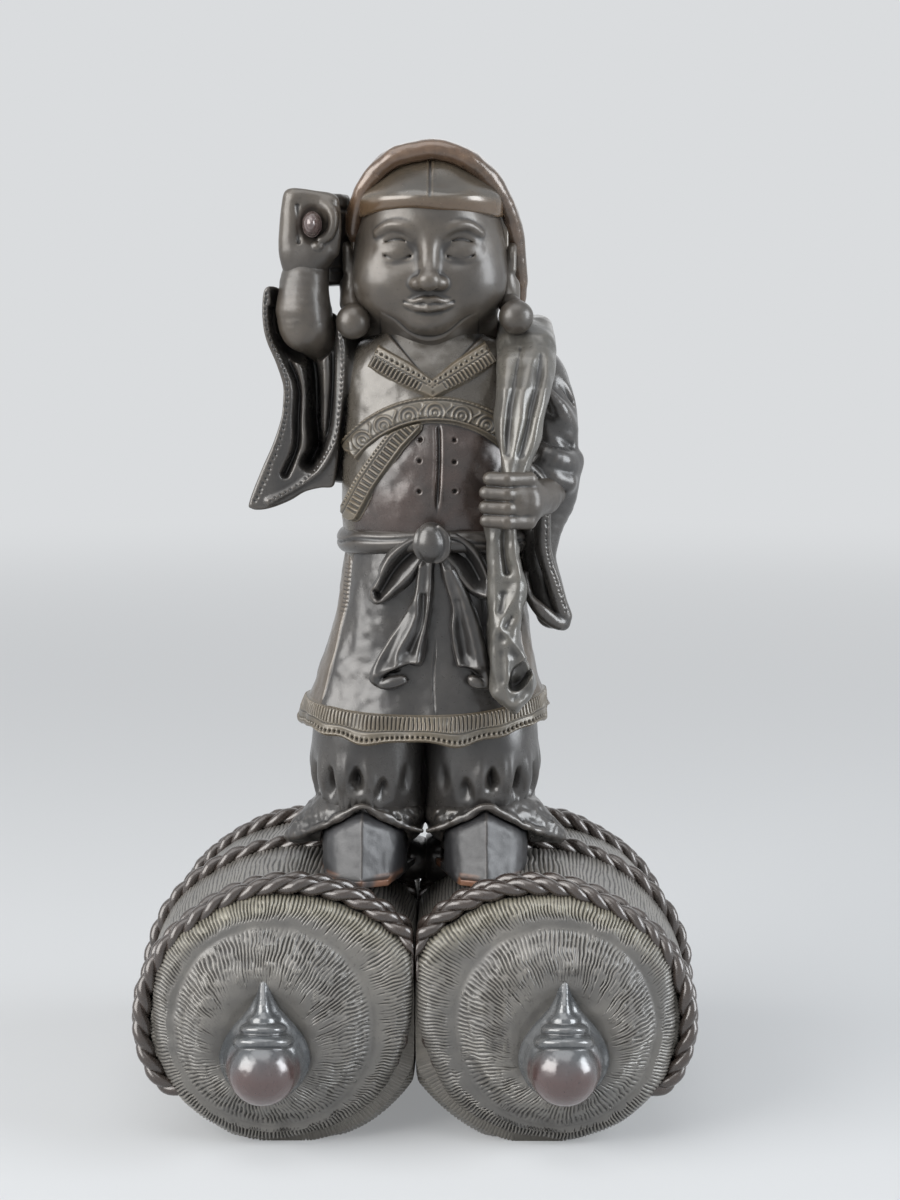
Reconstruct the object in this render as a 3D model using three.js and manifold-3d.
// Lucky-god figure standing on two straw rice bales, fired clay, in millimetres.
// The figure faces -Y, +X is at the viewer's right, and the bales stand on the plane Z = 0.
// Right and left in the names are the figure's own sides, so its right is at -X.

import * as THREE from 'three';
import { mergeVertices } from 'three/addons/utils/BufferGeometryUtils.js';
import Module from 'manifold-3d';

const wasm = await Module();
wasm.setup();

// Driving dimensions: joints between the clay pieces
const JOINT_GAP = 0.3;
const BITE = 1.6;

// Rice bales
const BALE_SPACING = 88;
const BALE_AXIS_HEIGHT = 42.5;
const BALE_HALF_LENGTH = 59;
const BALE_END_HALF_WIDTH = 50.5;
const BALE_END_HALF_HEIGHT = 46;
const BALE_SWELL_WIDTH = 4.2;
const BALE_SWELL_HEIGHT = 3.4;
const BALE_STEPS = 4;
const STRAW_BUNDLES = 16;
const STRAW_BUNDLE_DEPTH = 1.2;
const ROPE_STEPS = 20;
const DOUBLE_ROPE_POINTS = 6;
const ROPE_SIDES = 5;
const ROPE_RADIUS = 2.5;
const ROPE_PAIR_SPACING = 4.6;
const ROPE_END_INSET = 3;
const LID_SIDES = 20;
const LID_INSET = 2.4;
const LID_RIM_DEPTH = 5;
const LID_DOME_DEPTH = 13.5;
const LID_HOLLOW_DEPTH = 4.5;
const LID_GROOVE_DEPTH = 1.2;
const KNOB_SIDES = 9;
const KNOB_OFFSET_X = 7;
const KNOB_DROP = 8.5;
const KNOB_RADIUS = 14.2;
const KNOB_STEM_LENGTH = 28;
const KNOB_TILT = 20;

// Legs and shoes: heights follow on from the seat of the shoes on the bales
const FEET_CENTRE_X = 3;
const BODY_AXIS_Y = -11;
const SHOE_SPACING = 45;
const SHOE_HALF_WIDTH = 14.3;
const SHOE_TOE_REACH = 33;
const SHOE_LENGTH = 40;
const SHOE_SEAT_RISE = 44.5;
const SHOE_SIDE_RISE = 16;
const SHOE_RIDGE_RISE = 9.5;
const LEG_SPACING = 41.4;
const LEG_HALF_WIDTH = 20.4;
const LEG_HALF_DEPTH = 22;
const LEG_SET_BACK = 2;
const LEG_LENGTH = 52;
const LEG_PUFF_RISE = 37;
const LEG_ANKLE_RISE = 19;
const LEG_ANKLE_NARROWING = 5;
const LEG_TOP_REACH = 13;
const LEG_GATHERS = 9;
const LEG_GATHER_DEPTH = 0.1;
const CUFF_FLARE = 7.5;
const CUFF_FOOT_RISE = 8;
const CUFF_HEIGHT = 16;
const CUFF_ARCH = 10;
const CUFF_SIDES = 12;
const SHOE_SOLE_HEIGHT = BALE_AXIS_HEIGHT + SHOE_SEAT_RISE;
const SHOE_SIDE_HEIGHT = SHOE_SOLE_HEIGHT + SHOE_SIDE_RISE;
const SHOE_TOE_Y = BODY_AXIS_Y - SHOE_TOE_REACH;
const LEG_AXIS_Y = BODY_AXIS_Y + LEG_SET_BACK;
const CUFF_FOOT = SHOE_SOLE_HEIGHT + CUFF_FOOT_RISE;
const HEM_HEIGHT = SHOE_SOLE_HEIGHT + LEG_LENGTH;

// Robe
const HEM_CENTRE_X = 2.8;
const HEM_HALF_WIDTH = 44.2;
const HEM_HALF_DEPTH = 33.6;
const HEM_BAND_RISE = 0.5;
const HEM_BAND_HEIGHT = 9.4;
const BAND_THICKNESS = 1.5;
const SKIRT_LENGTH = 66;
const WAIST_CENTRE_X = 6.5;
const WAIST_HALF_WIDTH = 31.6;
const WAIST_HALF_DEPTH = 26.2;
const BELLY_RISE = 21;
const BELLY_HALF_WIDTH = 33.4;
const BELLY_HALF_DEPTH = 28;
const CHEST_RISE = 47;
const CHEST_HALF_WIDTH = 31.6;
const CHEST_HALF_DEPTH = 23.6;
const SHOULDER_RISE = 68;
const SHOULDER_HALF_WIDTH = 27;
const SHOULDER_HALF_DEPTH = 16;
const SHOULDER_SLOPE = 6;
const COLLAR_WIDTH = 6;
const COLLAR_POINT_DROP = 12;
const COLLAR_RISE = 16;
const COLLAR_SPREAD = 27;
const BREAST_ARC_RADIUS = 42;
const BREAST_ARC_CENTRE_X = 8;
const BREAST_ARC_RISE = 6.5;
const BREAST_BAND_WIDTH = 9.5;
const LAPEL_WIDTH = 8.5;
const LAPEL_TOP_DROP = 4;
const LAPEL_LENGTH = 30;
const LAPEL_REACH = 24;
const WAIST_HEIGHT = HEM_HEIGHT + SKIRT_LENGTH;
const BELLY_HEIGHT = WAIST_HEIGHT + BELLY_RISE;
const CHEST_HEIGHT = WAIST_HEIGHT + CHEST_RISE;
const SHOULDER_HEIGHT = WAIST_HEIGHT + SHOULDER_RISE;

// Sash
const BELT_HEIGHT = 8;
const BELT_DEPTH = 4.6;
const BELT_STEPS = 18;
const KNOT_HALF_WIDTH = 6;
const KNOT_HALF_HEIGHT = 8;
const KNOT_DEPTH = 8;
const LOOP_LENGTH = 30;
const LOOP_HALF_WIDTH = 6.2;
const TAIL_LENGTH = 51;
const TAIL_HALF_WIDTH = 6;
const RIBBON_HALF_THICKNESS = 2.4;

// Head and cap
const HEAD_CENTRE_X = 4.8;
const HEAD_SET_BACK = 3;
const HEAD_HALF_WIDTH = 27.3;
const HEAD_HALF_DEPTH = 25;
const NECK_LENGTH = 7;
const NECK_HALF_WIDTH = 14;
const HEAD_HEIGHT = 63;
const NOSE_SIZE = 5.2;
const EAR_HEIGHT = 30;
const EAR_DEPTH = 13;
const EAR_THICKNESS = 7;
const LOBE_RADIUS = 6.2;
const CAP_CLOTH = 3.4;
const CAP_EDGE_DROP = 19;
const CAP_NAPE_RISE = 8;
const CAP_RIM_RADIUS = 3.6;
const CAP_RIM_SET_BACK = 7;
const CAP_RIM_SWEEP = 8;
const CAP_RIM_STEPS = 14;
const HEAD_AXIS_Y = BODY_AXIS_Y + HEAD_SET_BACK;
const CHIN_HEIGHT = SHOULDER_HEIGHT + NECK_LENGTH;
const CROWN_HEIGHT = CHIN_HEIGHT + HEAD_HEIGHT;
const CAP_EDGE_HEIGHT = CROWN_HEIGHT - CAP_EDGE_DROP;
const CAP_NAPE_HEIGHT = CHIN_HEIGHT + CAP_NAPE_RISE;

// Raised right arm with the mallet
const RAISED_ARM_REACH = 45;
const RAISED_ARM_FORWARD = 8;
const ELBOW_RADIUS = 10.2;
const FOREARM_LENGTH = 24;
const WRIST_RADIUS = 8.4;
const RAISED_HAND_WIDTH = 21.6;
const RAISED_HAND_HEIGHT = 33;
const RAISED_HAND_DEPTH = 13;
const RAISED_HAND_SHIFT = 1;
const MALLET_RADIUS = 12.4;
const MALLET_LENGTH = 27;
const MALLET_RISE = 19;
const MALLET_SHIFT = 3;
const MALLET_HANDLE_RADIUS = 3.6;
const MALLET_HANDLE_TIP = 8;
const RAISED_ARM_X = WAIST_CENTRE_X - RAISED_ARM_REACH;
const RAISED_ARM_Y = BODY_AXIS_Y - RAISED_ARM_FORWARD;
const ELBOW_HEIGHT = SHOULDER_HEIGHT;
const WRIST_HEIGHT = ELBOW_HEIGHT + FOREARM_LENGTH;

// Right sleeve: a pocket whose outline hangs from the elbow
const RIGHT_SLEEVE_REACH = 36;
const RIGHT_SLEEVE_LENGTH = 77.5;
const RIGHT_SLEEVE_FORWARD = 11;
const RIGHT_SLEEVE_DEPTH = 30;
const RIGHT_SLEEVE_POINTS = 19;
const RIGHT_SLEEVE_GATHER = 0.5;
const ARM_OPENING = 1.4;
const BORDER_FOLD_WIDTH = 1.7;
const BORDER_FOLD_DEPTH = 5.2;
const MIDDLE_FOLD_WIDTH = 2.5;
const MIDDLE_FOLD_DEPTH = 16;

// Left arm with the sack
const LEFT_SLEEVE_REACH = 53.5;
const LEFT_SLEEVE_WIDTH = 23;
const LEFT_SLEEVE_LENGTH = 104;
const LEFT_SLEEVE_RISE = 4;
const LEFT_SLEEVE_FORWARD = 24;
const LEFT_SLEEVE_DEPTH = 40;
const FIST_REACH = 26;
const FIST_FORWARD = 35;
const FIST_RISE = 19;
const FIST_WIDTH = 20;
const FIST_DEPTH = 15;
const FINGER_PITCH = 5.3;
const FINGER_COUNT = 4;
const SACK_NECK_HALF_WIDTH = 9.8;
const SACK_NECK_HALF_DEPTH = 6;
const SACK_GRIP_HALF_WIDTH = 5;
const SACK_TAIL_LENGTH = 73;
const SACK_TAIL_HALF_WIDTH = 8;
const SACK_FOLDS = 5;
const SACK_FOLD_DEPTH = 0.13;
const BAG_X = 24;
const BAG_HALF_WIDTH = 32;
const BAG_HALF_DEPTH = 24;
const BAG_HALF_HEIGHT = 40;
const BAG_DROP = 30;
const BAG_FOLDS = 8;
const BAG_FOLD_DEPTH = 0.14;
const FIST_X = WAIST_CENTRE_X + FIST_REACH;
const FIST_Y = BODY_AXIS_Y - FIST_FORWARD;
const FIST_HEIGHT = WAIST_HEIGHT + FIST_RISE;
const BAG_Y = BODY_AXIS_Y + BELLY_HALF_DEPTH + BAG_HALF_DEPTH - 2 * BITE;
const BAG_HEIGHT = SHOULDER_HEIGHT - BAG_DROP;

const FAR = 3 * CROWN_HEIGHT;

const UP = new THREE.Vector3(0, 0, 1);
const FORWARD = new THREE.Vector3(0, -1, 0);
const SIDES = [{ name: 'right', sign: -1 }, { name: 'left', sign: 1 }];

// Forms: a form is a closed shell of points and triangles

function outward(form) {
  let volume = 0;
  for (const [a, b, c] of form.faces) {
    volume += form.points[a].dot(form.points[b].clone().cross(form.points[c]));
  }
  if (volume < 0) {
    form.faces = form.faces.map(([a, b, c]) => [a, c, b]);
  }
  return form;
}

function addCentre(points, first, sides) {
  const centre = new THREE.Vector3();
  for (let side = 0; side < sides; side += 1) {
    centre.addScaledVector(points[first + side], 1 / sides);
  }
  points.push(centre);
  return points.length - 1;
}

// A skin over rings with equal numbers of points, closed by a fan at each end or joined into a loop
function loft(rings, loop = false) {
  const sides = rings[0].length;
  const points = rings.flat();
  const faces = [];
  const spans = loop ? rings.length : rings.length - 1;
  for (let span = 0; span < spans; span += 1) {
    const here = span * sides;
    const next = ((span + 1) % rings.length) * sides;
    for (let side = 0; side < sides; side += 1) {
      const beside = (side + 1) % sides;
      faces.push([here + side, here + beside, next + beside]);
      faces.push([here + side, next + beside, next + side]);
    }
  }
  if (!loop) {
    const last = (rings.length - 1) * sides;
    const foot = addCentre(points, 0, sides);
    const head = addCentre(points, last, sides);
    for (let side = 0; side < sides; side += 1) {
      const beside = (side + 1) % sides;
      faces.push([foot, beside, side]);
      faces.push([head, last + side, last + beside]);
    }
  }
  return outward({ points, faces });
}

// A rounded section across two directions; a power above 2 squares it up
function section(centre, across, along, halfWidth, halfDepth, sides, power = 2, folds = 0, foldDepth = 0) {
  const ring = [];
  for (let side = 0; side < sides; side += 1) {
    const angle = (side / sides) * 2 * Math.PI;
    const ripple = 1 - foldDepth * (0.5 - 0.5 * Math.cos(folds * angle));
    const c = Math.cos(angle);
    const s = Math.sin(angle);
    const x = Math.sign(c) * Math.abs(c) ** (2 / power) * halfWidth * ripple;
    const y = Math.sign(s) * Math.abs(s) ** (2 / power) * halfDepth * ripple;
    ring.push(centre.clone().addScaledVector(across, x).addScaledVector(along, y));
  }
  return ring;
}

function smooth(stations, share) {
  const place = share * (stations.length - 1);
  const start = Math.min(Math.floor(place), stations.length - 2);
  const t = place - start;
  const pick = (index) => stations[Math.max(0, Math.min(stations.length - 1, index))];
  return Object.fromEntries(Object.keys(stations[0]).map((key) => {
    const [a, b, c, d] = [pick(start - 1)[key], pick(start)[key], pick(start + 1)[key], pick(start + 2)[key]];
    const bend = (2 * a - 5 * b + 4 * c - d) * t * t + (3 * b - a - 3 * c + d) * t * t * t;
    return [key, 0.5 * (2 * b + (c - a) * t + bend)];
  }));
}

// Level sections stacked upward: each station has x, y, z, width and depth (half sizes)
function stack(stations, steps, sides, { power = 2, folds = 0, foldDepth = 0 } = {}) {
  const rings = [];
  const across = new THREE.Vector3(1, 0, 0);
  const along = new THREE.Vector3(0, 1, 0);
  for (let step = 0; step <= steps; step += 1) {
    const at = smooth(stations, step / steps);
    const centre = new THREE.Vector3(at.x, at.y, at.z);
    const ripple = foldDepth * (at.fold ?? 1);
    rings.push(section(centre, across, along, at.width, at.depth, sides, power, folds, ripple));
  }
  return loft(rings);
}

// A rounded limb or ribbon along a curved line, with the sections of its stations square to the line
function limb(stations, steps, sides, { folds = 0, foldDepth = 0, power = 2, facing = FORWARD } = {}) {
  const centres = [];
  const sizes = [];
  for (let step = 0; step <= steps; step += 1) {
    const at = smooth(stations, step / steps);
    centres.push(new THREE.Vector3(at.x, at.y, at.z));
    sizes.push(at);
  }
  const rings = centres.map((centre, index) => {
    const before = centres[Math.max(0, index - 1)];
    const after = centres[Math.min(centres.length - 1, index + 1)];
    const heading = after.clone().sub(before).normalize();
    const across = heading.clone().cross(facing).normalize();
    const along = across.clone().cross(heading);
    const { width, depth } = sizes[index];
    return section(centre, across, along, width, depth, sides, power, folds, foldDepth);
  });
  return loft(rings);
}

function formOf(geometry) {
  const bare = geometry.index ? geometry.toNonIndexed() : geometry.clone();
  bare.deleteAttribute('normal');
  bare.deleteAttribute('uv');
  const merged = mergeVertices(bare, 1e-4);
  const place = merged.attributes.position;
  const points = [];
  for (let index = 0; index < place.count; index += 1) {
    points.push(new THREE.Vector3().fromBufferAttribute(place, index));
  }
  const faces = [];
  const corners = merged.index.array;
  for (let index = 0; index < corners.length; index += 3) {
    const face = [corners[index], corners[index + 1], corners[index + 2]];
    if (new Set(face).size === 3) {
      faces.push(face);
    }
  }
  return outward({ points, faces });
}

function ellipsoid(centre, radii, around = 14, down = 8) {
  const ball = new THREE.SphereGeometry(1, around, down);
  ball.rotateX(Math.PI / 2);
  ball.scale(...radii);
  ball.translate(...centre);
  return formOf(ball);
}

function block(low, high) {
  const box = new THREE.BoxGeometry(high[0] - low[0], high[1] - low[1], high[2] - low[2]);
  box.translate((low[0] + high[0]) / 2, (low[1] + high[1]) / 2, (low[2] + high[2]) / 2);
  return formOf(box);
}

// A front-view outline (X, Z) carried straight back along Y
function prism(outline, frontY, depth) {
  const shape = outline instanceof THREE.Shape ? outline : new THREE.Shape(outline);
  const body = new THREE.ExtrudeGeometry(shape, { depth, bevelEnabled: false, curveSegments: 8 });
  body.rotateX(Math.PI / 2);
  body.translate(0, frontY + depth, 0);
  return formOf(body);
}

// The same form with every face moved out by a distance
function grown(form, distance) {
  const normals = form.points.map(() => new THREE.Vector3());
  const around = form.points.map(() => []);
  for (const face of form.faces) {
    const [a, b, c] = face.map((index) => form.points[index]);
    const normal = b.clone().sub(a).cross(c.clone().sub(a));
    if (normal.lengthSq() < 1e-14) {
      continue;
    }
    normal.normalize();
    face.forEach((index, corner) => {
      const tip = form.points[index];
      const one = form.points[face[(corner + 1) % 3]].clone().sub(tip);
      const two = form.points[face[(corner + 2) % 3]].clone().sub(tip);
      normals[index].addScaledVector(normal, one.angleTo(two));
      around[index].push(normal);
    });
  }
  const steepest = 0.55;
  const points = form.points.map((point, index) => {
    const normal = normals[index].normalize();
    const slope = Math.max(steepest, Math.min(...around[index].map((other) => other.dot(normal))));
    return point.clone().addScaledVector(normal, distance / slope);
  });
  return { points, faces: form.faces };
}

function solid(form) {
  const vertProperties = new Float32Array(form.points.flatMap((point) => point.toArray()));
  const triVerts = new Uint32Array(form.faces.flat());
  return new wasm.Manifold(new wasm.Mesh({ numProp: 3, vertProperties, triVerts }));
}

function shell(body) {
  const mesh = body.getMesh();
  const points = [];
  for (let index = 0; index < mesh.vertProperties.length; index += mesh.numProp) {
    points.push(new THREE.Vector3(...mesh.vertProperties.slice(index, index + 3)));
  }
  const faces = [];
  for (let index = 0; index < mesh.triVerts.length; index += 3) {
    faces.push([...mesh.triVerts.slice(index, index + 3)]);
  }
  return { points, faces };
}

// The largest of the bodies that a cut leaves
function mainBody(form) {
  const leader = form.points.map((point, index) => index);
  const find = (index) => {
    while (leader[index] !== index) {
      leader[index] = leader[leader[index]];
      index = leader[index];
    }
    return index;
  };
  for (const [a, b, c] of form.faces) {
    leader[find(a)] = find(b);
    leader[find(b)] = find(c);
  }
  const volumes = new Map();
  for (const [a, b, c] of form.faces) {
    const part = form.points[a].dot(form.points[b].clone().cross(form.points[c]));
    volumes.set(find(a), (volumes.get(find(a)) ?? 0) + part);
  }
  const largest = [...volumes].reduce((best, entry) => (entry[1] > best[1] ? entry : best));
  const faces = form.faces.filter(([a]) => find(a) === largest[0]);
  const used = [...new Set(faces.flat())];
  const renumber = new Map(used.map((old, index) => [old, index]));
  const points = used.map((old) => form.points[old]);
  return { points, faces: faces.map((face) => face.map((old) => renumber.get(old))) };
}

// Clays and glaze: bare stoneware, iron wash and the copper-red of the worn raised parts
const FINISHES = {
  straw: { color: 0x6b5f50, roughness: 0.62, metalness: 0.1 },
  rope: { color: 0x4b3c33, roughness: 0.45, metalness: 0.15 },
  knob: { color: 0x5d3a2c, roughness: 0.35, metalness: 0.2 },
  robe: { color: 0x57504a, roughness: 0.42, metalness: 0.15 },
  band: { color: 0x6a5c49, roughness: 0.5, metalness: 0.12 },
  belly: { color: 0x4c3630, roughness: 0.36, metalness: 0.18 },
  skin: { color: 0x5e544c, roughness: 0.4, metalness: 0.15 },
  cap: { color: 0x54473c, roughness: 0.45, metalness: 0.15 },
  rim: { color: 0x735a42, roughness: 0.42, metalness: 0.18 },
  sack: { color: 0x524c46, roughness: 0.42, metalness: 0.15 },
  mallet: { color: 0x3f3934, roughness: 0.4, metalness: 0.15 },
};

const figure = new THREE.Group();
const seats = [];

// Adds one clay piece, trimmed to every piece that was set before it, with the joint gap between them
function setPiece(name, finish, form) {
  const box = new THREE.Box3().setFromPoints(form.points);
  let body = solid(form);
  for (const seat of seats) {
    if (seat.box.intersectsBox(box)) {
      body = body.subtract(seat.body);
    }
  }
  const result = mainBody(shell(body));
  const geometry = new THREE.BufferGeometry();
  const positions = new Float32Array(result.points.flatMap((point) => point.toArray()));
  geometry.setAttribute('position', new THREE.BufferAttribute(positions, 3));
  geometry.setIndex(result.faces.flat());
  const mesh = new THREE.Mesh(geometry, new THREE.MeshStandardMaterial(FINISHES[finish]));
  mesh.name = name;
  figure.add(mesh);
  seats.push({ box: box.clone().expandByScalar(JOINT_GAP), body: solid(grown(form, JOINT_GAP)) });
  return result;
}

// Rice bales

function baleSize(y) {
  const swell = 1 - (y / BALE_HALF_LENGTH) ** 2;
  return {
    width: BALE_END_HALF_WIDTH + BALE_SWELL_WIDTH * swell,
    height: BALE_END_HALF_HEIGHT + BALE_SWELL_HEIGHT * swell,
  };
}

// The bales are pressed flat where they stand and where they lean on each other
function pressedFlat(form, sign) {
  const ground = block([-FAR, -FAR, -FAR], [FAR, FAR, 0]);
  const inner = -sign * FAR;
  const wall = (sign * JOINT_GAP) / 2;
  const neighbour = block([Math.min(inner, wall), -FAR, -FAR], [Math.max(inner, wall), FAR, FAR]);
  return mainBody(shell(solid(form).subtract(solid(ground)).subtract(solid(neighbour))));
}

function oval(centre, halfWidth, halfHeight, sides) {
  return section(centre, new THREE.Vector3(1, 0, 0), UP, halfWidth, halfHeight, sides);
}

// The straw lies lengthwise in shallow bundles
function baleBody(sign) {
  const rings = [];
  for (let step = 0; step <= BALE_STEPS; step += 1) {
    const y = BALE_HALF_LENGTH * ((2 * step) / BALE_STEPS - 1);
    const size = baleSize(y);
    const centre = new THREE.Vector3((sign * BALE_SPACING) / 2, y, BALE_AXIS_HEIGHT);
    const groove = STRAW_BUNDLE_DEPTH / size.width;
    rings.push(section(centre, new THREE.Vector3(1, 0, 0), UP, size.width, size.height,
      2 * STRAW_BUNDLES, 2, STRAW_BUNDLES, groove));
  }
  return pressedFlat(loft(rings), sign);
}

// One rope, or two side by side, in section: "out" leaves the bale and "along" follows its axis
function ropeSection(centre, out, along, doubled) {
  if (!doubled) {
    return section(centre, out, along, ROPE_RADIUS, ROPE_RADIUS, ROPE_SIDES);
  }
  const half = ROPE_PAIR_SPACING / 2;
  const ring = [];
  for (let point = 0; point < DOUBLE_ROPE_POINTS; point += 1) {
    const angle = (point / DOUBLE_ROPE_POINTS) * 2 * Math.PI;
    ring.push(centre.clone()
      .addScaledVector(out, Math.cos(angle) * ROPE_RADIUS)
      .addScaledVector(along, Math.sin(angle) * (ROPE_RADIUS + half)));
  }
  return ring;
}

// A binding lies round the bale, set a little into the straw
function ropeRing(sign, y, doubled) {
  const size = baleSize(y);
  const rings = [];
  for (let step = 0; step < ROPE_STEPS; step += 1) {
    const angle = (step / ROPE_STEPS) * 2 * Math.PI;
    const out = new THREE.Vector3(Math.cos(angle) * size.height, 0, Math.sin(angle) * size.width).normalize();
    const rim = new THREE.Vector3(Math.cos(angle) * size.width, 0, Math.sin(angle) * size.height);
    rim.add(new THREE.Vector3((sign * BALE_SPACING) / 2, y, BALE_AXIS_HEIGHT));
    rim.addScaledVector(out, ROPE_RADIUS - BITE);
    rings.push(ropeSection(rim, out, new THREE.Vector3(0, 1, 0), doubled));
  }
  return pressedFlat(loft(rings, true), sign);
}

// The straw lid: rim, groove, dome and the hollow round the knob, whose rings draw in toward the knob
function lidForm(sign, end) {
  const profile = [
    { share: 1, proud: -BITE },
    { share: 0.97, proud: LID_RIM_DEPTH * 0.75 },
    { share: 0.74, proud: LID_RIM_DEPTH + LID_GROOVE_DEPTH },
    { share: 0.68, proud: LID_RIM_DEPTH },
    { share: 0.6, proud: LID_DOME_DEPTH * 0.72 },
    { share: 0.46, proud: LID_DOME_DEPTH },
    { share: 0.34, proud: LID_DOME_DEPTH - LID_HOLLOW_DEPTH * 0.6 },
    { share: 0.18, proud: LID_DOME_DEPTH - LID_HOLLOW_DEPTH },
  ];
  const halfWidth = BALE_END_HALF_WIDTH - LID_INSET;
  const halfHeight = BALE_END_HALF_HEIGHT - LID_INSET;
  const rings = profile.map(({ share, proud }) => {
    const x = sign * (BALE_SPACING / 2 + KNOB_OFFSET_X * (1 - share));
    const z = BALE_AXIS_HEIGHT - KNOB_DROP * (1 - share);
    const centre = new THREE.Vector3(x, end * (BALE_HALF_LENGTH + proud), z);
    return oval(centre, halfWidth * share, halfHeight * share, LID_SIDES);
  });
  return pressedFlat(loft(rings), sign);
}

// The twisted straw end: a ball, two bound ridges and a drawn-out tip that leans back on the lid
function knobForm(sign, end) {
  const profile = [
    [0, -1], [0.68, -0.74], [1, -0.1], [0.84, 0.54], [0.62, 0.72],
    [0.7, 0.86], [0.46, 1.02], [0.5, 1.16], [0.26, 1.36],
  ];
  const outline = profile.map(([r, h]) => new THREE.Vector2(r * KNOB_RADIUS, h * KNOB_RADIUS));
  outline.push(new THREE.Vector2(0, KNOB_STEM_LENGTH));
  const lathe = new THREE.LatheGeometry(outline, KNOB_SIDES);
  lathe.rotateX(Math.PI / 2);
  lathe.rotateX(end * THREE.MathUtils.degToRad(KNOB_TILT));
  const reach = BALE_HALF_LENGTH + LID_DOME_DEPTH - LID_HOLLOW_DEPTH + KNOB_RADIUS - 2 * BITE;
  lathe.translate(sign * (BALE_SPACING / 2 + KNOB_OFFSET_X), end * reach, BALE_AXIS_HEIGHT - KNOB_DROP);
  return formOf(lathe);
}

for (const { name, sign } of SIDES) {
  setPiece(`bale_${name}`, 'straw', baleBody(sign));
}
for (const { name, sign } of SIDES) {
  for (const [where, end] of [['front', -1], ['rear', 1]]) {
    setPiece(`lid_${where}_${name}`, 'straw', lidForm(sign, end));
    setPiece(`knob_${where}_${name}`, 'knob', knobForm(sign, end));
  }
  for (const [where, place] of [['front', -1], ['middle', 0], ['rear', 1]]) {
    const y = place * (BALE_HALF_LENGTH - ROPE_END_INSET);
    setPiece(`rope_${where}_${name}`, 'rope', ropeRing(sign, y, place !== 0));
  }
}

// Shoes, trouser legs and their cuffs

// The upper is a prow: two faces meet at an upright edge over the toe and run back as a ridge
function shoeForm(sign) {
  const x = FEET_CENTRE_X + (sign * SHOE_SPACING) / 2;
  const stations = [
    { back: 0, width: 0.14, side: 0.6, ridge: 0.1 },
    { back: 0.2, width: 0.58, side: 0.8, ridge: 0.6 },
    { back: 0.46, width: 1, side: 0.96, ridge: 1 },
    { back: 1, width: 0.9, side: 1, ridge: 1 },
  ];
  const rings = stations.map(({ back, width, side, ridge }) => {
    const y = SHOE_TOE_Y + SHOE_LENGTH * back;
    const half = SHOE_HALF_WIDTH * width;
    const shoulder = SHOE_SOLE_HEIGHT + (SHOE_SIDE_HEIGHT - SHOE_SOLE_HEIGHT) * side;
    const top = shoulder + SHOE_RIDGE_RISE * ridge;
    const crease = shoulder + 0.3 * (top - shoulder);
    const outline = [
      [-half, SHOE_SOLE_HEIGHT], [half, SHOE_SOLE_HEIGHT], [half, shoulder], [0.8 * half, crease],
      [0.1 * half, top], [-0.1 * half, top], [-0.8 * half, crease], [-half, shoulder],
    ];
    return outline.map(([across, up]) => new THREE.Vector3(x + across, y, up));
  });
  return loft(rings);
}

// The trousers puff out under the hem and are gathered above the cuff
function legForm(sign) {
  const x = FEET_CENTRE_X + (sign * LEG_SPACING) / 2;
  const row = (z, share, narrowing, fold = 0) => ({
    x,
    y: LEG_AXIS_Y,
    z,
    width: LEG_HALF_WIDTH * share - narrowing,
    depth: LEG_HALF_DEPTH * share - narrowing,
    fold,
  });
  return stack([
    row(CUFF_FOOT - BITE, 1, LEG_ANKLE_NARROWING),
    row(SHOE_SOLE_HEIGHT + LEG_ANKLE_RISE, 1, LEG_ANKLE_NARROWING, 1),
    row(SHOE_SOLE_HEIGHT + LEG_PUFF_RISE, 1, 0, 0.6),
    row(HEM_HEIGHT, 0.96, 0),
    row(HEM_HEIGHT + LEG_TOP_REACH, 0.86, 0),
  ], 5, 2 * LEG_GATHERS, { folds: LEG_GATHERS, foldDepth: LEG_GATHER_DEPTH });
}

// The cuff spreads over the bale and arches up over the shoe in front
function cuffForm(sign) {
  const x = FEET_CENTRE_X + (sign * LEG_SPACING) / 2;
  const rows = [
    { spread: -1, lift: 1 },
    { spread: 0.25, lift: 0.8 },
    { spread: 0.7, lift: 0.35 },
    { spread: 1, lift: 0 },
    { spread: -1, lift: -0.5 },
  ];
  const rings = rows.map(({ spread, lift }) => {
    const ring = [];
    for (let side = 0; side < CUFF_SIDES; side += 1) {
      const angle = (side / CUFF_SIDES) * 2 * Math.PI;
      const front = Math.max(0, -Math.sin(angle)) ** 2;
      const inner = Math.max(0, -sign * Math.cos(angle)) ** 2;
      const reach = CUFF_FLARE * spread * (1 - 0.55 * inner) - LEG_ANKLE_NARROWING * 0.5;
      const foot = CUFF_FOOT + CUFF_ARCH * front;
      const z = foot + CUFF_HEIGHT * lift * (lift > 0 ? 1 - 0.5 * front : 1);
      ring.push(new THREE.Vector3(
        x + Math.cos(angle) * (LEG_HALF_WIDTH + reach),
        LEG_AXIS_Y + Math.sin(angle) * (LEG_HALF_DEPTH + reach),
        z,
      ));
    }
    return ring;
  });
  return loft(rings);
}

for (const { name, sign } of SIDES) {
  setPiece(`shoe_${name}`, 'skin', shoeForm(sign));
}
for (const { name, sign } of SIDES) {
  setPiece(`leg_${name}`, 'robe', legForm(sign));
}
for (const { name, sign } of SIDES) {
  setPiece(`cuff_${name}`, 'robe', cuffForm(sign));
}

// Body and robe

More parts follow.
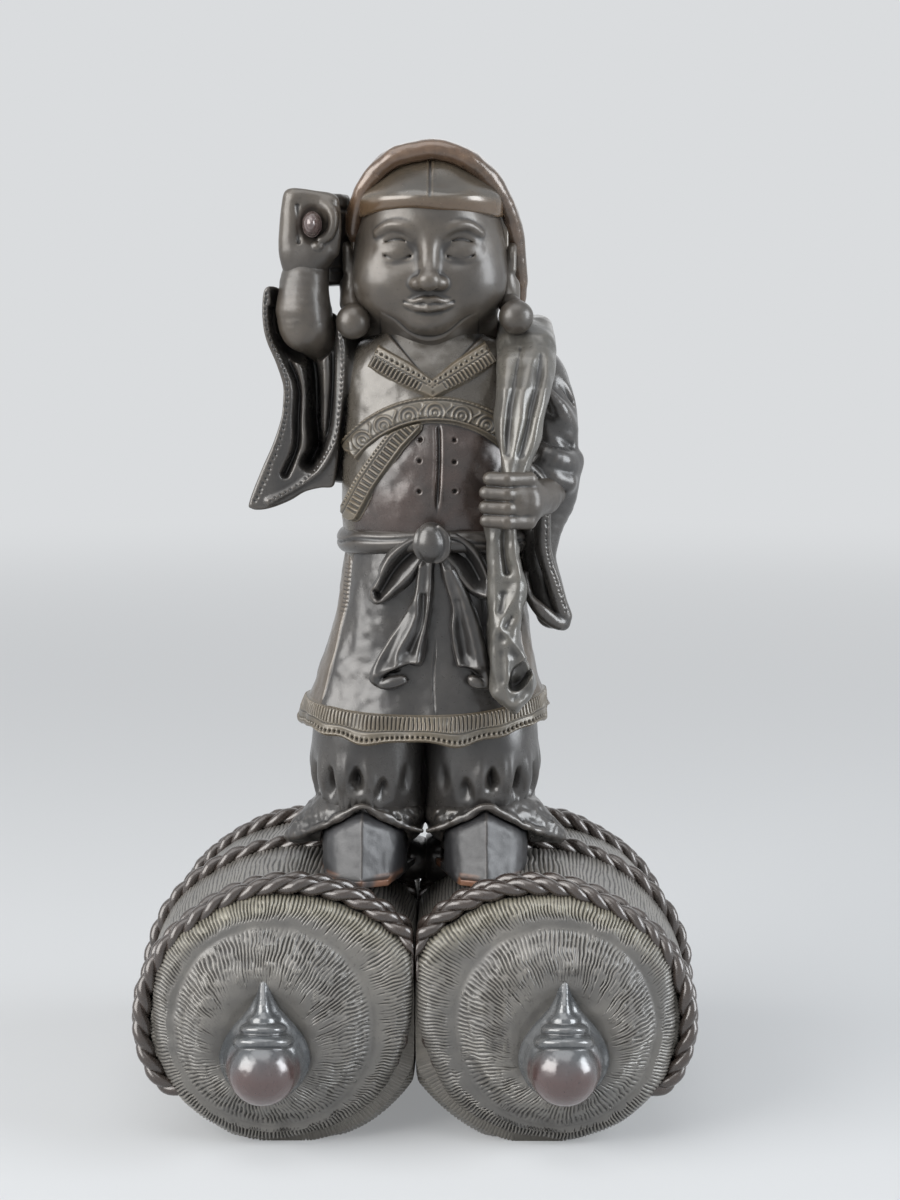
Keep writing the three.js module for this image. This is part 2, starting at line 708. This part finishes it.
function torsoForm() {
  const row = (z, x, width, depth) => ({ x, y: BODY_AXIS_Y, z, width, depth });
  return stack([
    row(WAIST_HEIGHT - 0.75 * BELT_HEIGHT, WAIST_CENTRE_X, 0.95 * WAIST_HALF_WIDTH, 0.95 * WAIST_HALF_DEPTH),
    row(WAIST_HEIGHT + 0.75 * BELT_HEIGHT, WAIST_CENTRE_X, WAIST_HALF_WIDTH, WAIST_HALF_DEPTH),
    row(BELLY_HEIGHT, WAIST_CENTRE_X, BELLY_HALF_WIDTH, BELLY_HALF_DEPTH),
    row(CHEST_HEIGHT, WAIST_CENTRE_X, CHEST_HALF_WIDTH, CHEST_HALF_DEPTH),
    row(SHOULDER_HEIGHT, HEAD_CENTRE_X, SHOULDER_HALF_WIDTH, SHOULDER_HALF_DEPTH),
    row(SHOULDER_HEIGHT + SHOULDER_SLOPE, HEAD_CENTRE_X, NECK_HALF_WIDTH, NECK_HALF_WIDTH),
  ], 8, 18, { power: 2.15 });
}

function skirtForm() {
  const row = (share, flare) => ({
    x: HEM_CENTRE_X + (WAIST_CENTRE_X - HEM_CENTRE_X) * share,
    y: BODY_AXIS_Y,
    z: HEM_HEIGHT + (WAIST_HEIGHT - HEM_HEIGHT) * share,
    width: WAIST_HALF_WIDTH + (HEM_HALF_WIDTH - WAIST_HALF_WIDTH) * flare,
    depth: WAIST_HALF_DEPTH + (HEM_HALF_DEPTH - WAIST_HALF_DEPTH) * flare,
  });
  const rows = [row(0, 1), row(0.2, 0.78), row(0.42, 0.45), row(0.64, 0.2), row(1, 0)];
  return stack(rows, 4, 18, { power: 2.2 });
}

const torso = torsoForm();
const skirt = skirtForm();

// A flat band that follows the cloth below it, cut to an outline in the front view
function bandOn(ground, outlineForm) {
  const outer = solid(grown(ground, BAND_THICKNESS));
  const inner = solid(grown(ground, JOINT_GAP));
  return mainBody(shell(outer.intersect(solid(outlineForm)).subtract(inner)));
}

function strip(from, to, width) {
  const side = new THREE.Vector2(to.y - from.y, from.x - to.x).normalize().multiplyScalar(width / 2);
  return [from.clone().add(side), to.clone().add(side), to.clone().sub(side), from.clone().sub(side)];
}

function breastOutline() {
  const reach = Math.atan2(CHEST_HALF_WIDTH, BREAST_ARC_RADIUS * 0.66);
  const centre = CHEST_HEIGHT + BREAST_ARC_RISE - BREAST_ARC_RADIUS;
  const outline = new THREE.Shape();
  const left = Math.PI / 2 + reach;
  const right = Math.PI / 2 - reach;
  outline.absarc(BREAST_ARC_CENTRE_X, centre, BREAST_ARC_RADIUS, left, right, true);
  outline.absarc(BREAST_ARC_CENTRE_X, centre - BREAST_BAND_WIDTH, BREAST_ARC_RADIUS, right, left, false);
  return outline;
}

const HALF_BODY = CHEST_HALF_DEPTH * 2;
const FRONT = BODY_AXIS_Y - HALF_BODY;

function bandForms() {
  const collarPointHeight = SHOULDER_HEIGHT - COLLAR_POINT_DROP - COLLAR_WIDTH / 2;
  const collarPoint = new THREE.Vector2(WAIST_CENTRE_X, collarPointHeight);
  const collar = (sign) => {
    const end = collarPoint.clone().add(new THREE.Vector2(sign * COLLAR_SPREAD, COLLAR_RISE));
    return prism(strip(collarPoint, end, COLLAR_WIDTH), FRONT, HALF_BODY);
  };
  const lapelTop = new THREE.Vector2(WAIST_CENTRE_X - LAPEL_WIDTH, CHEST_HEIGHT - LAPEL_TOP_DROP);
  const lapelFoot = new THREE.Vector2(lapelTop.x - LAPEL_REACH, lapelTop.y - LAPEL_LENGTH);
  const hemFoot = HEM_HEIGHT + HEM_BAND_RISE;
  return [
    ['breast_band', torso, prism(breastOutline(), FRONT, HALF_BODY)],
    ['collar_right', torso, collar(-1)],
    ['collar_left', torso, collar(1)],
    ['lapel_band', torso, prism(strip(lapelTop, lapelFoot, LAPEL_WIDTH), FRONT, HALF_BODY)],
    ['hem_band', skirt, block([-FAR, -FAR, hemFoot], [FAR, FAR, hemFoot + HEM_BAND_HEIGHT])],
  ];
}

// Head with a plain nose and brow; the face itself is modelled by the finish
function headForm() {
  const row = (share, width, depth, forward = 0) => ({
    x: HEAD_CENTRE_X,
    y: HEAD_AXIS_Y - forward * HEAD_HALF_DEPTH,
    z: CHIN_HEIGHT + HEAD_HEIGHT * share,
    width: width * HEAD_HALF_WIDTH,
    depth: depth * HEAD_HALF_DEPTH,
  });
  const neck = (share) => ({ ...row(share, 0, 0), width: NECK_HALF_WIDTH, depth: NECK_HALF_WIDTH });
  const skull = stack([
    neck(-NECK_LENGTH / HEAD_HEIGHT),
    neck(-0.05),
    row(0.03, 0.66, 0.72, 0.08),
    row(0.2, 0.95, 0.97, 0.02),
    row(0.46, 1, 1),
    row(0.75, 0.9, 0.92),
    row(1, 0.34, 0.34),
  ], 8, 16);
  const nosePlace = [HEAD_CENTRE_X, HEAD_AXIS_Y - HEAD_HALF_DEPTH, CHIN_HEIGHT + 0.36 * HEAD_HEIGHT];
  const nose = ellipsoid(nosePlace, [NOSE_SIZE, NOSE_SIZE * 0.9, NOSE_SIZE], 8, 4);
  return shell(solid(skull).add(solid(nose)));
}

setPiece('torso', 'belly', torso);
setPiece('skirt', 'robe', skirt);
setPiece('head', 'skin', headForm());
for (const [name, ground, outline] of bandForms()) {
  setPiece(name, 'band', bandOn(ground, outline));
}

// Sash: belt, knot, loops and tails

const BELT_Y = BODY_AXIS_Y - WAIST_HALF_DEPTH - BELT_DEPTH / 2;
const KNOT_Y = BELT_Y - BELT_DEPTH / 2;

function beltForm() {
  const rings = [];
  for (let step = 0; step < BELT_STEPS; step += 1) {
    const angle = (step / BELT_STEPS) * 2 * Math.PI;
    const out = new THREE.Vector3(Math.cos(angle), Math.sin(angle), 0);
    const centre = new THREE.Vector3(
      WAIST_CENTRE_X + Math.cos(angle) * WAIST_HALF_WIDTH,
      BODY_AXIS_Y + Math.sin(angle) * WAIST_HALF_DEPTH,
      WAIST_HEIGHT,
    );
    centre.addScaledVector(out, BELT_DEPTH / 2 - BITE / 2);
    rings.push(section(centre, out, UP, BELT_DEPTH / 2 + BITE / 2, BELT_HEIGHT / 2, 6));
  }
  return loft(rings, true);
}

function knotForm() {
  const centre = [WAIST_CENTRE_X, KNOT_Y - KNOT_DEPTH / 4, WAIST_HEIGHT];
  return ellipsoid(centre, [KNOT_HALF_WIDTH, KNOT_DEPTH * 0.75, KNOT_HALF_HEIGHT], 12, 8);
}

function loopForm(sign) {
  const row = (share, drop, width) => ({
    x: WAIST_CENTRE_X + sign * LOOP_LENGTH * 0.72 * share,
    y: KNOT_Y + RIBBON_HALF_THICKNESS * 0.4,
    z: WAIST_HEIGHT - LOOP_LENGTH * 0.62 * drop,
    width: LOOP_HALF_WIDTH * width,
    depth: RIBBON_HALF_THICKNESS * 1.2,
  });
  const rows = [
    row(0.08, 0.02, 0.5), row(0.45, 0.2, 0.8), row(0.8, 0.62, 1), row(0.98, 0.92, 0.75), row(1.02, 1, 0.2),
  ];
  return limb(rows, 6, 8);
}

function tailForm(sign) {
  const row = (share, spread, width) => ({
    x: WAIST_CENTRE_X + sign * spread * TAIL_LENGTH,
    y: KNOT_Y - RIBBON_HALF_THICKNESS * (0.2 + 1.35 * share),
    z: WAIST_HEIGHT - TAIL_LENGTH * share,
    width: TAIL_HALF_WIDTH * width,
    depth: RIBBON_HALF_THICKNESS,
  });
  const rows = [row(0.06, 0.02, 0.5), row(0.35, 0.08, 0.6), row(0.7, 0.2, 0.85), row(1, 0.31, 1.25)];
  return limb(rows, 5, 10, { folds: 3, foldDepth: 0.25 });
}

setPiece('knot', 'robe', knotForm());
setPiece('belt', 'robe', beltForm());
for (const { name, sign } of SIDES) {
  setPiece(`sash_tail_${name}`, 'robe', tailForm(sign));
}
for (const { name, sign } of SIDES) {
  setPiece(`sash_loop_${name}`, 'robe', loopForm(sign));
}

// Ears, cap and its rolled rim

function earForm(sign) {
  const x = HEAD_CENTRE_X + sign * (HEAD_HALF_WIDTH + EAR_THICKNESS / 4);
  const lobe = CHIN_HEIGHT + LOBE_RADIUS;
  const shellPart = ellipsoid([x, HEAD_AXIS_Y, lobe + EAR_HEIGHT / 2],
    [EAR_THICKNESS / 2, EAR_DEPTH / 2, EAR_HEIGHT / 2], 8, 6);
  const lobePart = ellipsoid([x + sign * LOBE_RADIUS * 0.2, HEAD_AXIS_Y - LOBE_RADIUS * 0.3, lobe],
    [LOBE_RADIUS, LOBE_RADIUS, LOBE_RADIUS], 10, 6);
  return shell(solid(shellPart).add(solid(lobePart)));
}

// The brow line of the cap rises a little toward the middle
function capFrontForm() {
  const row = (share, size, rise = 0) => ({
    x: HEAD_CENTRE_X,
    y: HEAD_AXIS_Y,
    z: CAP_EDGE_HEIGHT + CAP_EDGE_DROP * share + rise,
    width: (HEAD_HALF_WIDTH + CAP_CLOTH) * size,
    depth: (HEAD_HALF_DEPTH + CAP_CLOTH) * size,
  });
  const cloth = stack([
    row(-0.05, 0.97), row(0.3, 0.95), row(0.7, 0.84), row(1, 0.62), row(1, 0.4, CAP_CLOTH),
  ], 5, 18);
  const behind = block([-FAR, HEAD_AXIS_Y - CAP_RIM_SET_BACK, -FAR], [FAR, FAR, FAR]);
  return mainBody(shell(solid(cloth).subtract(solid(behind))));
}

function capRimForm() {
  const halfWidth = HEAD_HALF_WIDTH + CAP_CLOTH - CAP_RIM_RADIUS * 0.4;
  const stations = [];
  const drop = CAP_EDGE_HEIGHT - CAP_NAPE_HEIGHT;
  for (let step = 0; step <= CAP_RIM_STEPS; step += 1) {
    const share = (2 * step) / CAP_RIM_STEPS - 1;
    const angle = share * Math.PI * 0.62;
    const low = Math.max(0, Math.abs(angle) - Math.PI / 2);
    stations.push({
      x: HEAD_CENTRE_X + Math.sin(angle) * halfWidth,
      y: HEAD_AXIS_Y - CAP_RIM_SET_BACK + CAP_RIM_SWEEP * Math.abs(share) ** 3,
      z: CAP_EDGE_HEIGHT + Math.cos(angle) * (CAP_EDGE_DROP + CAP_CLOTH) - drop * low,
      width: CAP_RIM_RADIUS,
      depth: CAP_RIM_RADIUS,
    });
  }
  return limb(stations, CAP_RIM_STEPS, 6);
}

// The soft back of the cap falls over the head to the nape
function capHoodForm() {
  const rise = CROWN_HEIGHT + CAP_CLOTH - CAP_NAPE_HEIGHT;
  const row = (share, width, depth, back) => ({
    x: HEAD_CENTRE_X,
    y: HEAD_AXIS_Y + back * HEAD_HALF_DEPTH,
    z: CAP_NAPE_HEIGHT + rise * share,
    width: width * HEAD_HALF_WIDTH,
    depth: depth * HEAD_HALF_DEPTH,
  });
  const hood = stack([
    row(0, 0.9, 0.8, 0.2), row(0.27, 1.07, 1.06, 0.18), row(0.62, 1.09, 1.12, 0.14),
    row(0.86, 0.78, 0.9, 0.06),
    row(1, 0.3, 0.4, 0),
  ], 7, 16);
  const ahead = block([-FAR, -FAR, -FAR], [FAR, HEAD_AXIS_Y - CAP_RIM_SET_BACK + 1.4 * CAP_RIM_RADIUS, FAR]);
  return mainBody(shell(solid(hood).subtract(solid(ahead))));
}

for (const { name, sign } of SIDES) {
  setPiece(`ear_${name}`, 'skin', earForm(sign));
}
setPiece('cap_rim', 'rim', capRimForm());
setPiece('cap_front', 'cap', capFrontForm());
setPiece('cap_hood', 'cap', capHoodForm());

// Sleeves: hanging pockets with folds in their mouths, given in shares across and down

// A fold pressed into the mouth of a sleeve, along a line given in the sleeve's own shares
function foldCut(line, place, frontY, width, depth) {
  const stations = line.map(([across, down]) => {
    const spot = place(across, down);
    return { x: spot.x, y: frontY, z: spot.z, width, depth };
  });
  return solid(limb(stations, 4, 6));
}

// The right sleeve: a pocket that hangs from the elbow and draws in and back to the shoulder
function rightSleeveForm() {
  const bodyX = WAIST_CENTRE_X - CHEST_HALF_WIDTH + BITE;
  const frontY = BODY_AXIS_Y - RIGHT_SLEEVE_FORWARD;
  const place = (across, down) => new THREE.Vector3(
    bodyX - RIGHT_SLEEVE_REACH * (1 - across),
    0,
    WRIST_HEIGHT - RIGHT_SLEEVE_LENGTH * down,
  );
  const outline = [
    [0, 0.99], [0.11, 0.85], [0.25, 0.71], [0.34, 0.57], [0.36, 0.44], [0.27, 0.31], [0.19, 0.19],
    [0.17, 0.07],
    [0.24, 0], [0.57, 0.07], [0.91, 0.13], [1, 0.34], [0.95, 0.61], [0.88, 0.86], [0.73, 0.91], [0.43, 0.97],
    [0.18, 1],
  ].map(([across, down]) => place(across, down));
  const curve = new THREE.CatmullRomCurve3(outline, true, 'centripetal');
  const edge = curve.getPoints(RIGHT_SLEEVE_POINTS).slice(0, RIGHT_SLEEVE_POINTS);
  const gather = new THREE.Vector3(bodyX, 0, CHEST_HEIGHT + 0.2 * RIGHT_SLEEVE_LENGTH);
  const rings = [0, 0.4, 0.75, 1].map((share) => edge.map((point) => {
    const spot = point.clone().lerp(gather, RIGHT_SLEEVE_GATHER * share * share);
    spot.y = frontY + RIGHT_SLEEVE_DEPTH * share;
    return spot;
  }));
  const shoulderZ = gather.z - 0.5 * ELBOW_RADIUS;
  const shoulder = limb([
    { x: RAISED_ARM_X, y: BODY_AXIS_Y + ELBOW_RADIUS, z: gather.z, width: ELBOW_RADIUS, depth: ELBOW_RADIUS },
    { x: bodyX, y: BODY_AXIS_Y, z: shoulderZ, width: ELBOW_RADIUS, depth: ELBOW_RADIUS },
    { x: bodyX + ELBOW_RADIUS, y: BODY_AXIS_Y, z: shoulderZ, width: ELBOW_RADIUS, depth: ELBOW_RADIUS },
  ], 3, 8);
  const ring = (y, height, radius) => ({
    x: RAISED_ARM_X,
    y,
    z: height + ELBOW_RADIUS,
    width: radius,
    depth: radius,
  });
  const opening = stack([
    ring(RAISED_ARM_Y, ELBOW_HEIGHT, ELBOW_RADIUS),
    ring(RAISED_ARM_Y - ELBOW_RADIUS, WRIST_HEIGHT, ELBOW_RADIUS + 2 * ARM_OPENING),
  ], 2, 12);
  const border = [[0.27, 0.1], [0.41, 0.33], [0.5, 0.52], [0.49, 0.72], [0.37, 0.85]];
  const middle = [[0.6, 0.26], [0.66, 0.44], [0.68, 0.62], [0.66, 0.79]];
  const side = [[0.85, 0.2], [0.86, 0.44], [0.81, 0.65], [0.71, 0.77]];
  const body = solid(loft(rings))
    .add(solid(shoulder))
    .subtract(solid(opening))
    .subtract(foldCut(border, place, frontY, BORDER_FOLD_WIDTH, BORDER_FOLD_DEPTH))
    .subtract(foldCut(middle, place, frontY, MIDDLE_FOLD_WIDTH, MIDDLE_FOLD_DEPTH))
    .subtract(foldCut(side, place, frontY, BORDER_FOLD_WIDTH, BORDER_FOLD_DEPTH));
  return mainBody(shell(body));
}

// The left sleeve: full over the shoulder, rolled at the elbow, its mouth hanging open to a rounded tip
function leftSleeveForm() {
  const half = LEFT_SLEEVE_WIDTH / 2;
  const spot = (across, back, down, size) => ({
    x: WAIST_CENTRE_X + LEFT_SLEEVE_REACH - LEFT_SLEEVE_WIDTH * (1 - across),
    y: BODY_AXIS_Y - LEFT_SLEEVE_FORWARD + LEFT_SLEEVE_DEPTH * back,
    z: SHOULDER_HEIGHT + LEFT_SLEEVE_RISE - LEFT_SLEEVE_LENGTH * down,
    width: half * size,
    depth: half * size,
  });
  const shoulder = [spot(-0.3, 0.6, 0.13, 0.8), spot(0.39, 0.64, 0.1, 0.88), spot(0.59, 0.53, 0.19, 0.86),
    spot(0.61, 0.45, 0.32, 0.8)];
  const hang = [spot(0.54, 0.44, 0.3, 0.84), spot(0.53, 0.42, 0.45, 0.82), spot(0.5, 0.42, 0.6, 0.72),
    spot(0.42, 0.4, 0.72, 0.58), spot(0.44, 0.37, 0.84, 0.58), spot(0.51, 0.35, 0.92, 0.48)];
  const roll = [spot(0.19, 0.2, 0.35, 0.26), spot(0.44, 0.15, 0.39, 0.38), spot(0.7, 0.22, 0.41, 0.4),
    spot(0.92, 0.42, 0.4, 0.34)];
  const border = [spot(0.06, 0.04, 0.42, 0.22), spot(0.32, 0.06, 0.5, 0.26), spot(0.34, 0.09, 0.61, 0.28),
    spot(0.42, 0.15, 0.75, 0.27), spot(0.58, 0.2, 0.86, 0.26), spot(0.68, 0.24, 0.93, 0.25)];
  const lip = [spot(0.07, 0.22, 0.78, 0.16), spot(0.13, 0.16, 0.85, 0.18), spot(0.3, 0.14, 0.9, 0.2),
    spot(0.66, 0.22, 0.95, 0.22)];
  const mouth = [spot(0.09, 0.02, 0.46, 0.36), spot(0.12, 0.03, 0.6, 0.36), spot(0.2, 0.08, 0.77, 0.34),
    spot(0.33, 0.12, 0.87, 0.26)];
  const body = solid(limb(hang, 6, 9))
    .add(solid(limb(shoulder, 4, 9)))
    .subtract(solid(limb(mouth, 5, 8)))
    .add(solid(limb(roll, 5, 7)))
    .add(solid(limb(border, 7, 6)))
    .add(solid(limb(lip, 5, 6)));
  return mainBody(shell(body));
}

// Right arm: forearm with a rounded elbow, fist, and the mallet whose handle points forward

function forearmForm() {
  const row = (share, size, back = 0) => ({
    x: RAISED_ARM_X,
    y: RAISED_ARM_Y + back * ELBOW_RADIUS,
    z: ELBOW_HEIGHT + FOREARM_LENGTH * share,
    width: size,
    depth: size,
  });
  return stack([
    row(0, ELBOW_RADIUS * 0.35, 0.2),
    row(0.12, ELBOW_RADIUS * 0.8, 0.1),
    row(0.38, ELBOW_RADIUS),
    row(0.62, ELBOW_RADIUS * 0.96),
    row(1, WRIST_RADIUS),
    row(1.16, WRIST_RADIUS * 0.98),
  ], 6, 12);
}

// The upper arm goes back into the sleeve
function upperArmForm() {
  const row = (inward, back, up) => ({
    x: RAISED_ARM_X + inward * ELBOW_RADIUS,
    y: RAISED_ARM_Y + back * ELBOW_RADIUS,
    z: ELBOW_HEIGHT + up * FOREARM_LENGTH,
    width: 0.76 * ELBOW_RADIUS,
    depth: 0.76 * ELBOW_RADIUS,
  });
  return limb([row(0, 0, 0.38), row(0.6, 1.4, 0.08), row(1.35, 2.3, -0.16)], 2, 8, { facing: UP });
}

function raisedHandForm() {
  const half = RAISED_HAND_WIDTH / 2;
  const deep = RAISED_HAND_DEPTH / 2;
  const row = (share, width, depth) => ({
    x: RAISED_ARM_X + RAISED_HAND_SHIFT,
    y: RAISED_ARM_Y,
    z: WRIST_HEIGHT + RAISED_HAND_HEIGHT * share,
    width,
    depth,
  });
  return stack([
    row(0.06, WRIST_RADIUS, WRIST_RADIUS * 0.9), row(0.3, half * 0.94, deep * 1.05), row(0.58, half, deep),
    row(0.88, half * 0.98, deep * 0.94), row(1, half * 0.88, deep * 0.6),
  ], 5, 14, { power: 3.2 });
}

const MALLET_X = RAISED_ARM_X + MALLET_SHIFT;
const MALLET_HEIGHT = WRIST_HEIGHT + MALLET_RISE;
const MALLET_Y = RAISED_ARM_Y + RAISED_HAND_DEPTH / 2 + MALLET_RADIUS - BITE / 2;

function malletHeadForm() {
  const profile = [
    [0, -1], [0.9, -1], [0.97, -0.9], [0.97, -0.72], [1, -0.66],
    [1, 0.66], [0.97, 0.72], [0.97, 0.9], [0.9, 1], [0, 1],
  ];
  const outline = profile.map(([r, h]) => new THREE.Vector2(r * MALLET_RADIUS, (h * MALLET_LENGTH) / 2));
  const lathe = new THREE.LatheGeometry(outline, 14);
  lathe.rotateX(Math.PI / 2);
  lathe.translate(MALLET_X, MALLET_Y, MALLET_HEIGHT);
  return formOf(lathe);
}

function malletHandleForm() {
  const front = RAISED_ARM_Y - RAISED_HAND_DEPTH / 2;
  const length = MALLET_Y - front;
  const profile = [
    [0, -MALLET_HANDLE_TIP], [0.6, -0.7 * MALLET_HANDLE_TIP], [1, -0.25 * MALLET_HANDLE_TIP],
    [1, length], [0, length],
  ];
  const outline = profile.map(([r, h]) => new THREE.Vector2(r * MALLET_HANDLE_RADIUS, h));
  const lathe = new THREE.LatheGeometry(outline, 12);
  lathe.translate(MALLET_X, front, MALLET_HEIGHT);
  return formOf(lathe);
}

// The back wall of the sleeve carries the arm, so the arm pieces are set first
setPiece('mallet_head', 'mallet', malletHeadForm());
setPiece('mallet_handle', 'knob', malletHandleForm());
setPiece('hand_right', 'skin', raisedHandForm());
setPiece('forearm_right', 'skin', shell(solid(forearmForm()).add(solid(upperArmForm()))));
setPiece('sleeve_right', 'robe', rightSleeveForm());

// Left arm: the fist closes round the neck of the sack, four fingers in front

function fistForm() {
  const span = FINGER_PITCH * FINGER_COUNT;
  const palm = ellipsoid([FIST_X + FIST_WIDTH * 0.22, FIST_Y, FIST_HEIGHT],
    [FIST_WIDTH * 0.34, FIST_DEPTH / 2, span / 2], 8, 6);
  let fist = solid(palm);
  for (let finger = 0; finger < FINGER_COUNT; finger += 1) {
    const z = FIST_HEIGHT + (finger - (FINGER_COUNT - 1) / 2) * FINGER_PITCH;
    const grip = ellipsoid([FIST_X - FIST_WIDTH * 0.1, FIST_Y, z],
      [FIST_WIDTH * 0.4, FIST_DEPTH / 2, FINGER_PITCH * 0.58], 8, 5);
    fist = fist.add(solid(grip));
  }
  return shell(fist);
}

function wristForm() {
  const row = (across, back, up) => ({
    x: FIST_X + FIST_WIDTH * across,
    y: FIST_Y + FIST_DEPTH * back,
    z: FIST_HEIGHT + FIST_WIDTH * up,
    width: 0.48 * FIST_DEPTH,
    depth: 0.48 * FIST_DEPTH,
  });
  return limb([row(0.25, 0.13, -0.05), row(0.55, 0.93, 0), row(0.75, 2, 0.2)], 2, 8, { facing: UP });
}

// The neck fans out above the fist, lies over the shoulder and opens into the bag
function sackNeckForm() {
  const rise = SHOULDER_HEIGHT - FIST_HEIGHT;
  const back = HEAD_AXIS_Y - FIST_Y;
  const row = (across, toBack, up, size, thick) => ({
    x: FIST_X + SACK_NECK_HALF_WIDTH * across,
    y: FIST_Y + back * toBack,
    z: FIST_HEIGHT + rise * up,
    width: SACK_NECK_HALF_WIDTH * size,
    depth: SACK_NECK_HALF_DEPTH * thick,
  });
  const grip = { ...row(0, 0, 0, 0, 0.8), width: SACK_GRIP_HALF_WIDTH };
  return limb([
    grip,
    row(0.2, 0.05, 0.24, 0.6, 0.85),
    row(0.35, 0.12, 0.5, 0.92, 1),
    row(0.55, 0.28, 0.8, 1, 1.05),
    row(0.7, 0.7, 1.1, 1, 1.1),
    row(0.5, 1.3, 1.14, 1, 1.2),
    row(0.2, 1.7, 1.08, 1.1, 1.4),
    row(0, 1.95, 0.96, 1.1, 1.4),
  ], 9, 3 * SACK_FOLDS, { folds: SACK_FOLDS, foldDepth: SACK_FOLD_DEPTH });
}

function sackTailForm() {
  const row = (share, width, depth, across = 0) => ({
    x: FIST_X + across * SACK_TAIL_HALF_WIDTH,
    y: FIST_Y - 0.25 * SACK_NECK_HALF_DEPTH * share,
    z: FIST_HEIGHT - SACK_TAIL_LENGTH * share,
    width: SACK_TAIL_HALF_WIDTH * width,
    depth: SACK_NECK_HALF_DEPTH * depth,
  });
  const grip = { ...row(0, 0, 0.8), width: SACK_GRIP_HALF_WIDTH };
  const rows = [
    grip, row(0.3, 0.8, 0.8), row(0.6, 0.92, 0.85, 0.06), row(0.85, 1, 0.9, 0.2), row(1, 0.7, 0.75, 0.45),
  ];
  return limb(rows, 6, 3 * SACK_FOLDS, { folds: SACK_FOLDS, foldDepth: SACK_FOLD_DEPTH * 1.6 });
}

// The full bag rests against the back and leans up toward the shoulder, where it is gathered into its neck
function bagForm() {
  const row = (share, size, fold, lean = 0) => ({
    x: BAG_X + (FIST_X - BAG_X) * lean,
    y: BAG_Y - BAG_HALF_DEPTH * lean,
    z: BAG_HEIGHT + BAG_HALF_HEIGHT * share,
    width: BAG_HALF_WIDTH * size,
    depth: BAG_HALF_DEPTH * size,
    fold,
  });
  const rows = [row(-1, 0.36, 0), row(-0.8, 0.78, 0), row(-0.35, 1, 0), row(0.15, 0.94, 0.3, 0.05),
    row(0.55, 0.68, 0.8, 0.25), row(0.85, 0.36, 1, 0.6)];
  return stack(rows, 8, 2 * BAG_FOLDS, { folds: BAG_FOLDS, foldDepth: BAG_FOLD_DEPTH });
}

setPiece('hand_left', 'skin', shell(solid(fistForm()).add(solid(wristForm()))));
setPiece('sack_bag', 'sack', bagForm());
setPiece('sack_neck', 'sack', sackNeckForm());
setPiece('sack_tail', 'sack', sackTailForm());
setPiece('sleeve_left', 'robe', leftSleeveForm());

export default figure;
